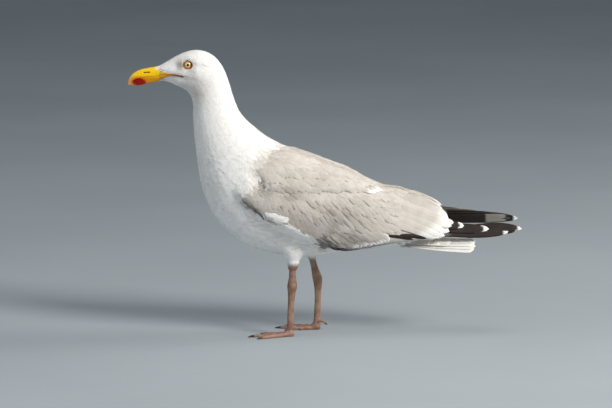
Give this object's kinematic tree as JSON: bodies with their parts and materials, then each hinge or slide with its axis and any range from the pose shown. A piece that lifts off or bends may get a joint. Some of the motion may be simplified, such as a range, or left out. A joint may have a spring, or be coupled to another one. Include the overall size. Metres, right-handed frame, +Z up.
{
  "type": "herring gull",
  "caption": "Standing adult gull with folded wings, hooked bill and webbed feet: a still, life-size animal model that rests on its own soles.",
  "frame": {"origin": "on the ground, below the middle of the bird's box", "axes": "+X towards the tail with the bill towards -X, +Y towards the bird's right side, +Z up"},
  "size_m": [0.5496, 0.1354, 0.3995],
  "materials": {
    "white_plumage": "soft white body feathers, matt",
    "grey_plumage": "pale grey wing and back feathers, matt",
    "black_plumage": "black flight feathers with white tips, slight sheen",
    "tail_feathers": "white tail vanes, slight sheen",
    "bill": "yellow horn with a red spot, satin",
    "claw": "dark horn, satin",
    "eye": "pale yellow iris with a black pupil under a clear wet surface",
    "leg_skin": "dull pink scaled skin"
  },
  "bodies": {
    "root": {"bill_lower": "bill", "bill_upper": "bill", "claw_hind_left": "claw", "claw_hind_right": "claw", "claw_inner_left": "claw", "claw_inner_right": "claw", "claw_middle_left": "claw", "claw_middle_right": "claw", "claw_outer_left": "claw", "claw_outer_right": "claw", "eye_left": "eye", "eye_right": "eye", "foot_left": "leg_skin", "foot_right": "leg_skin", "head": "white_plumage", "neck": "white_plumage", "primaries_left": "black_plumage", "primaries_right": "black_plumage", "shank_left": "leg_skin", "shank_right": "leg_skin", "tail": "tail_feathers", "thigh_left": "white_plumage", "thigh_right": "white_plumage", "trunk": "white_plumage", "wing_left": "grey_plumage", "wing_right": "grey_plumage"}
  },
  "joints": []
}
